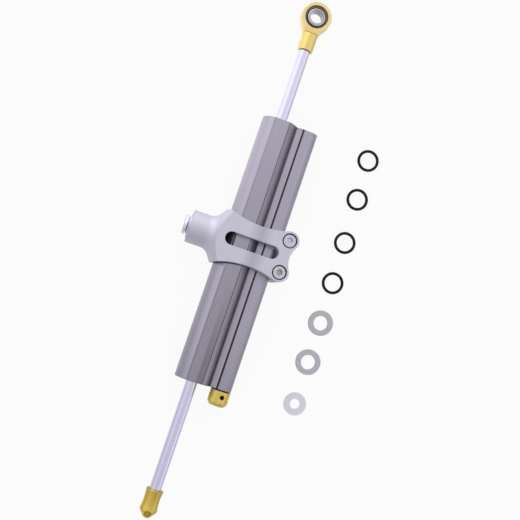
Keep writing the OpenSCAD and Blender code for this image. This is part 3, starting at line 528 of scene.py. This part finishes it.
# Clamp: one piece of aluminium, milled to shape with a turned boss and flare, bead-blasted and
# anodised silver. It grips the housing when its two split ears are drawn together.
SLOT_END_Y, CLAMP_TOP = -0.0074, 0.016
clamp_finish, tree, shader = start_finish("blasted_silver_anodising", 1.0)
place = own_coordinates(tree)
beads = grain(tree, place, 0.00020, detail=3.0)
patches = grain(tree, place, 0.012, detail=3.0, low=0.25, high=0.75)
colour = between(tree, beads, (0.640, 0.618, 0.725), (0.730, 0.706, 0.825))
colour = between(tree, product(tree, patches, 0.25), colour, (0.765, 0.745, 0.850))
# Painted shade: one soft darker band across the plate.
shaded_band = band(tree, add_node(tree, "SeparateXYZ", {0: place}).outputs["Y"], 0.0105, 0.0115, 0.0075)
colour = darken(tree, colour, shaded_band, 0.235)
# Painted shade on the broken edges: they are a patchy, darker grey.
uneven = ramp(tree, grain(tree, place, 0.0016), 0.55, 1.0)
colour = between(tree, product(tree, on_broken_edges(tree), uneven), colour, (0.605, 0.588, 0.685))
tree.links.new(colour, shader.inputs["Base Color"])
tree.links.new(ramp(tree, beads, 0.54, 0.68), shader.inputs["Roughness"])
apply_relief(tree, shader, beads, 0.000012)


def slot_end_shade(tree, x, y, z):
    """Painted shade on the round end of the slot on the boss's side, below its rim."""
    inside = ramp(tree, distance(tree, (x, CLAMP_X), (y, SLOT_END_Y)), 1.0, 0.0, SLOT_HALF + 0.0002,
                  SLOT_HALF + 0.0005)
    return product(tree, inside, band(tree, z, 0.003, CLAMP_TOP - 0.0006, 0.0003))


stain(clamp_finish, slot_end_shade, (0.030, 0.028, 0.036), 0.95)
eased_copy("clamp_body", "blasted_clamp", "clamp", clamp_finish, 0.0003)


# Bolts: two zinc-plated socket-head screws, sunk in the upper ear with a dark gap round each head.
# They are cold-headed, with a hexagon socket, and screw into the lower ear.
BOLT_Y, HALF_SPACING = 0.0307, 0.0113
HEAD_TOP, HEAD_RADIUS, SOCKET_FLOOR, SOCKET_CORNER = 0.0154, 0.00425, 0.0129, 0.00231
bolt_zinc, tree, shader = start_finish("zinc_plated_steel", 1.0)
place = own_coordinates(tree)
crystals = grain(tree, place, 0.00025, detail=4.0)
rinse = grain(tree, place, 0.0022)
colour = between(tree, crystals, (0.560, 0.580, 0.680), (0.700, 0.715, 0.830))
colour = between(tree, product(tree, rinse, 0.4), colour, (0.680, 0.672, 0.700))
# Painted highlight: the heads' broken rims are painted near white.
colour = between(tree, product(tree, on_broken_edges(tree), 0.8), colour, (0.92, 0.92, 0.98))
tree.links.new(colour, shader.inputs["Base Color"])
tree.links.new(ramp(tree, crystals, 0.20, 0.34), shader.inputs["Roughness"])
apply_relief(tree, shader, crystals, 0.000005)


def from_bolt(tree, x, y):
    """Distance from the axis of the nearer bolt."""
    return distance(tree, (distance(tree, (x, CLAMP_X)), HALF_SPACING), (y, BOLT_Y))


def cap_side(tree, x):
    """1 on the bolt nearer the cap, whose socket holds a little dried oil."""
    return calculate(tree, "GREATER_THAN", x, CLAMP_X)


def socket_floor(tree, x, y, z):
    inside = ramp(tree, from_bolt(tree, x, y), 1.0, 0.0, SOCKET_CORNER, SOCKET_CORNER + 0.0001)
    return product(tree, inside, ramp(tree, z, 1.0, 0.0, HEAD_TOP - 0.0004, HEAD_TOP - 0.0003))


def oiled_floor(tree, x, y, z):
    return product(tree, socket_floor(tree, x, y, z), cap_side(tree, x))


# Painted shade on the sockets' walls, deeper on the bolt nearer the cap, whose walls also hold dried oil.
def socket_wall_shade(tree, x, y, z):
    return product(tree, socket_floor(tree, x, y, z),
                   ramp(tree, z, 0.0, 1.0, SOCKET_FLOOR + 0.0001, SOCKET_FLOOR + 0.0003))


def oiled_wall_shade(tree, x, y, z):
    return product(tree, socket_wall_shade(tree, x, y, z), cap_side(tree, x))


def head_side_shade(tree, x, y, z):
    """Painted shade on the side of the head, in the gap round it."""
    outside = ramp(tree, from_bolt(tree, x, y), 0.0, 1.0, HEAD_RADIUS - 0.00006, HEAD_RADIUS - 0.00002)
    return product(tree, outside, ramp(tree, z, 1.0, 0.0, HEAD_TOP - 0.0008, HEAD_TOP - 0.0003))


stain(bolt_zinc, socket_floor, (0.560, 0.640, 0.820), 0.8)
stain(bolt_zinc, oiled_floor, (0.420, 0.410, 0.310), 0.9)
stain(bolt_zinc, socket_wall_shade, (0.260, 0.250, 0.300), 0.8)
stain(bolt_zinc, oiled_wall_shade, (0.130, 0.118, 0.150), 0.8)
stain(bolt_zinc, head_side_shade, (0.038, 0.035, 0.062), 0.93)
eased_copy("clamp_bolts", "socket_head_bolts", "clamp", bolt_zinc, 0.0003)


# Swivel in the boss: a steel race pressed in flush, a ball that tilts in it, and a polished collar
# with a threaded hole that turns in the ball.
IN_THE_BOSS = (CLAMP_X, 0.0, 0.0)
SWIVEL_MIDDLE = (CLAMP_X, -0.0333, 0.0)
ALONG_BOSS = Matrix.Rotation(math.radians(90), 4, "X")
SWIVEL_RADIUS, SWIVEL_HALF, SWIVEL_HOLLOW = 0.00855, 0.0035, 0.0075
swivel_steel = turned_metal("ground_swivel_steel", (0.64, 0.63, 0.72), (0.75, 0.74, 0.83), (0.28, 0.40),
                            IN_THE_BOSS, "Y", rub=(0.80, 0.79, 0.87))
ball_satin = turned_metal("satin_ball_steel", (0.80, 0.79, 0.90), (0.88, 0.87, 0.97), (0.40, 0.50),
                          IN_THE_BOSS, "Y")
collar_steel = turned_metal("polished_collar_steel", (0.78, 0.77, 0.87), (0.88, 0.87, 0.95), (0.22, 0.32),
                            IN_THE_BOSS, "Y", rub=(0.90, 0.89, 0.96))
swivel_mesh = spun_ring("pivot_race", race_section(SWIVEL_RADIUS, SWIVEL_HALF, SWIVEL_HOLLOW), SWIVEL_MIDDLE,
                        ALONG_BOSS, 0.0003, 0.0003)
finish_piece(swivel_mesh, "swivel_race", "clamp", swivel_steel, "pivot_race")
eased_copy("pivot_ball", "swivel_ball", "pivot_ball", ball_satin, 0.0003)
eased_copy("pivot_collar", "swivel_collar", "pivot_collar", collar_steel, 0.00035)


# Loose rings: four spare O-rings, two steel washers and one nylon washer lie in a row beside the
# damper. The O-rings are moulded, with a fine parting line; the washers are stamped.
TABLE_Z = -0.016
CORD_RADIUS, SHEET = 0.00105, 0.0016
ROW = {"washer_1": (0.2014, 0.0753), "washer_2": (0.2305, 0.0755), "nylon_washer": (0.2614, 0.0759)}
oring_rubber, tree, shader = start_finish("moulded_oring_rubber", 0.0)
shader.inputs["Specular IOR Level"].default_value = 0.10
place = own_coordinates(tree)
skin = grain(tree, place, 0.00018, detail=3.0)
bloom = grain(tree, place, 0.002, detail=3.0, low=0.35, high=0.75)
colour = between(tree, bloom, (0.0140, 0.0140, 0.0150), (0.0300, 0.0300, 0.0320))
tree.links.new(colour, shader.inputs["Base Color"])
tree.links.new(ramp(tree, skin, 0.40, 0.58), shader.inputs["Roughness"])
height = add_node(tree, "SeparateXYZ", {0: place}).outputs["Z"]
parting = ramp(tree, distance(tree, (height, TABLE_Z + CORD_RADIUS)), 1.0, 0.0, 0.00002, 0.00010)
apply_relief(tree, shader, calculate(tree, "ADD", product(tree, skin, 0.2), parting), 0.00004)
for number in "1234":
    paint_node("oring_" + number, oring_rubber)


def stamped_ring(name, outer, inner, material):
    """A flat ring punched from sheet: its upper edges are drawn in round, its lower ones stay crisp."""
    corners = [(inner, 0.0), (outer, 0.0), (outer, SHEET), (inner, SHEET)]
    mesh = spun_ring(name, corners, (*ROW[name], TABLE_Z), UPRIGHT, 0.00008, 0.00028)
    finish_piece(mesh, name + "_ring", name, material, name)


def sheet_steel(name, centre, dark, light):
    """Rolled and tumbled sheet: straight rolling lines, short scratches and a soft clouding."""
    material, tree, shader = start_finish(name, 1.0)
    place = own_coordinates(tree)
    rolled = grain(tree, stretched(tree, place, (0.02, 1.0, 1.0)), 0.00018, detail=3.0)
    turned = turned_rings(tree, (*centre, 0.0), "Z", 0.00035)
    clouds = grain(tree, place, 0.0035, detail=3.0, low=0.25, high=0.75)
    colour = between(tree, rolled, dark, light)
    colour = between(tree, product(tree, clouds, 0.5), colour, dark)
    tree.links.new(colour, shader.inputs["Base Color"])
    tree.links.new(ramp(tree, turned, 0.34, 0.50), shader.inputs["Roughness"])
    apply_relief(tree, shader, rolled, 0.000005)
    return material


warm_steel = sheet_steel("warm_washer_steel", ROW["washer_1"], (0.520, 0.510, 0.550), (0.640, 0.630, 0.672))
cool_steel = sheet_steel("cool_washer_steel", ROW["washer_2"], (0.520, 0.500, 0.615), (0.655, 0.635, 0.750))
nylon, tree, shader = start_finish("natural_nylon", 0.0)
place = own_coordinates(tree)
milky = grain(tree, place, 0.0025, detail=3.0, low=0.25, high=0.75)
tree.links.new(between(tree, milky, (0.90, 0.87, 0.985), (0.94, 0.91, 1.0)), shader.inputs["Base Color"])
tree.links.new(ramp(tree, grain(tree, place, 0.0003), 0.38, 0.52), shader.inputs["Roughness"])
apply_relief(tree, shader, grain(tree, place, 0.0005), 0.000008)
stamped_ring("washer_1", 0.00905, 0.0052, warm_steel)
stamped_ring("washer_2", 0.00905, 0.0052, cool_steel)
stamped_ring("nylon_washer", 0.0081, 0.0036, nylon)


# Table: a plain white sheet, and white all round it, as in a product photograph. The camera sees
# it near white, and it keeps a soft shadow under the damper. In metal it looks brightest on the
# eye's side, and darker farther out.
def blended(tree, value, at_low, at_high, low, high):
    """Like ramp, but with a soft start and end."""
    return ramp(tree, value, at_low, at_high, low, high, interpolation_type="SMOOTHSTEP")


def total(tree, *parts):
    result = parts[0]
    for part in parts[1:]:
        result = calculate(tree, "ADD", result, part)
    return result


def kinds_of_ray(tree):
    """Two sockets: 1 for a ray from the camera, and 1 for a ray that comes off metal or through glass."""
    path = add_node(tree, "LightPath")
    off_metal = calculate(tree, "MAXIMUM", path.outputs["Is Glossy Ray"], path.outputs["Is Transmission Ray"])
    return path.outputs["Is Camera Ray"], off_metal


sheet_shape = bmesh.new()
bmesh.ops.create_grid(sheet_shape, x_segments=1, y_segments=1, size=3.0)
bmesh.ops.translate(sheet_shape, verts=sheet_shape.verts, vec=(0.18, 0.0, TABLE_Z))
sheet_mesh = bpy.data.meshes.new("table_sheet")
sheet_shape.to_mesh(sheet_mesh)
sheet_shape.free()
table = bpy.data.objects.new("table_sheet", sheet_mesh)
bpy.context.scene.collection.objects.link(table)
paper, tree, shader = start_finish("white_table", 0.0)
shader.inputs["Base Color"].default_value = (0.90, 0.90, 0.90, 1.0)
shader.inputs["Roughness"].default_value = 0.9
shader.inputs["Specular IOR Level"].default_value = 0.0
from_camera, off_metal = kinds_of_ray(tree)
spot = add_node(tree, "SeparateXYZ", {0: own_coordinates(tree)})
lengthwise, across = spot.outputs["X"], spot.outputs["Y"]
boss_side = total(tree, blended(tree, across, 0.75, 0.10, -0.02, 0.01),
                  blended(tree, across, 0.30, 0.0, -0.10, -0.03))
sheen = total(tree, blended(tree, distance(tree, (across, 0.0)), 0.80, 0.35, 0.03, 0.10),
              blended(tree, across, 0.17, 0.0, -0.02, 0.01),
              product(tree, blended(tree, lengthwise, 1.0, 0.0, 0.11, 0.19), boss_side))
strength = add_node(tree, "Mix", {0: off_metal, 2: 1.0, 3: sheen}, data_type="FLOAT").outputs[0]
glow = add_node(tree, "Emission", {"Color": (1.0, 1.0, 1.0, 1.0), "Strength": strength})
lift = calculate(tree, "MAXIMUM", product(tree, from_camera, 0.92), product(tree, off_metal, 0.45))
lifted = add_node(tree, "MixShader", {0: lift, 1: shader.outputs[0], 2: glow.outputs[0]})
tree.links.new(lifted.outputs[0], tree.nodes["Material Output"].inputs["Surface"])
sheet_mesh.materials.append(paper)


# Room: white where the camera sees it. Metal reflects it white on the eye's side and greyer on the
# cap's side, as under one large softbox. East is towards the cap, and south is the boss's side.
world = bpy.data.worlds.new("white_room")
bpy.context.scene.world = world
world.use_nodes = True
tree = world.node_tree
diffuse_light = tree.nodes["Background"]
diffuse_light.inputs["Color"].default_value = (0.97, 0.97, 1.0, 1.0)
diffuse_light.inputs["Strength"].default_value = 0.66
towards = add_node(tree, "SeparateXYZ", {0: add_node(tree, "TexCoord").outputs["Generated"]})
east, north, up = [towards.outputs[name] for name in "XYZ"]
eye_end = blended(tree, east, 1.0, 0.0, -0.24, 0.06)
south = blended(tree, north, 1.0, 0.0, -0.74, -0.10)
softbox = total(tree, blended(tree, east, 0.86, 0.70, -0.24, 0.06),
                blended(tree, east, 0.20, 0.0, -0.90, -0.40),
                blended(tree, east, 0.0, -0.09, 0.15, 0.24),
                blended(tree, east, 0.0, -0.10, 0.30, 0.85),
                product(tree, south, ramp(tree, eye_end, 0.13, 0.39)),
                product(tree, blended(tree, north, 0.0, 1.0, 0.35, 0.75), ramp(tree, eye_end, 0.0, 0.13)))
lit_side = calculate(tree, "MAXIMUM", product(tree, south, eye_end),
                     blended(tree, east, 1.0, 0.0, -0.80, -0.40))
cap_corner = product(tree, blended(tree, east, 0.0, 0.55, 0.30, 0.60),
                     blended(tree, north, 1.0, 0.0, -0.50, -0.10))
horizon = product(tree, blended(tree, up, 1.0, 0.0, 0.0, 0.5), blended(tree, north, 0.26, 0.15, -0.3, 0.3),
                  calculate(tree, "SUBTRACT", 1.0, lit_side), calculate(tree, "SUBTRACT", 1.0, cap_corner))
softbox = product(tree, softbox, calculate(tree, "SUBTRACT", 1.0, horizon))
reflected = add_node(tree, "Background", {"Color": (1.0, 1.0, 1.0, 1.0), "Strength": softbox})
white = add_node(tree, "Background", {"Color": (1.0, 1.0, 1.0, 1.0), "Strength": 1.0})
from_camera, off_metal = kinds_of_ray(tree)
room = add_node(tree, "MixShader", {0: off_metal, 1: diffuse_light.outputs[0], 2: reflected.outputs[0]})
room = add_node(tree, "MixShader", {0: from_camera, 1: room.outputs[0], 2: white.outputs[0]})
tree.links.new(room.outputs[0], tree.nodes["World Output"].inputs["Surface"])


# Lamps: a broad soft lamp on the boss's side, towards the eye, and a weaker one over the far side.
# Both are square area lamps that only add to the room's even light.
def soft_lamp(name, place, target, size, power):
    lamp = bpy.data.lights.new(name, "AREA")
    lamp.shape = "SQUARE"
    lamp.size = size
    lamp.energy = power
    holder = bpy.data.objects.new(name, lamp)
    bpy.context.scene.collection.objects.link(holder)
    aim = (Vector(target) - Vector(place)).to_track_quat("-Z", "Y")
    holder.matrix_world = Matrix.Translation(place) @ aim.to_matrix().to_4x4()


soft_lamp("side_lamp", (-0.80, -0.55, 0.42), (0.15, -0.02, 0.0), 0.6, 1.5)
soft_lamp("far_lamp", (0.60, 1.10, 0.34), (0.18, 0.02, 0.0), 0.8, 0.6)


# Camera: straight above the table, a little off the upright, at the photograph's angle. The eye is
# at the top of the frame and the cap at the bottom, with the loose rings on the right.
camera_place = Vector((0.224, -0.05785, 0.5878))
forward = (Vector((0.1743, 0.01749, 0.0)) - camera_place).normalized()
spin = math.radians(-18.85)
right = forward.cross(Vector((-math.cos(spin), math.sin(spin), 0.0))).normalized()
upward = right.cross(forward)
lens = bpy.data.cameras.new("camera")
lens.sensor_width = 36.0
lens.lens = 59.58
lens.clip_start = 0.01
lens.clip_end = 20.0
camera = bpy.data.objects.new("camera", lens)
bpy.context.scene.collection.objects.link(camera)
camera.matrix_world = Matrix((
    (right.x, upward.x, -forward.x, camera_place.x),
    (right.y, upward.y, -forward.y, camera_place.y),
    (right.z, upward.z, -forward.z, camera_place.z),
    (0.0, 0.0, 0.0, 1.0)))
bpy.context.scene.camera = camera
bpy.context.scene.view_settings.view_transform = "Standard"
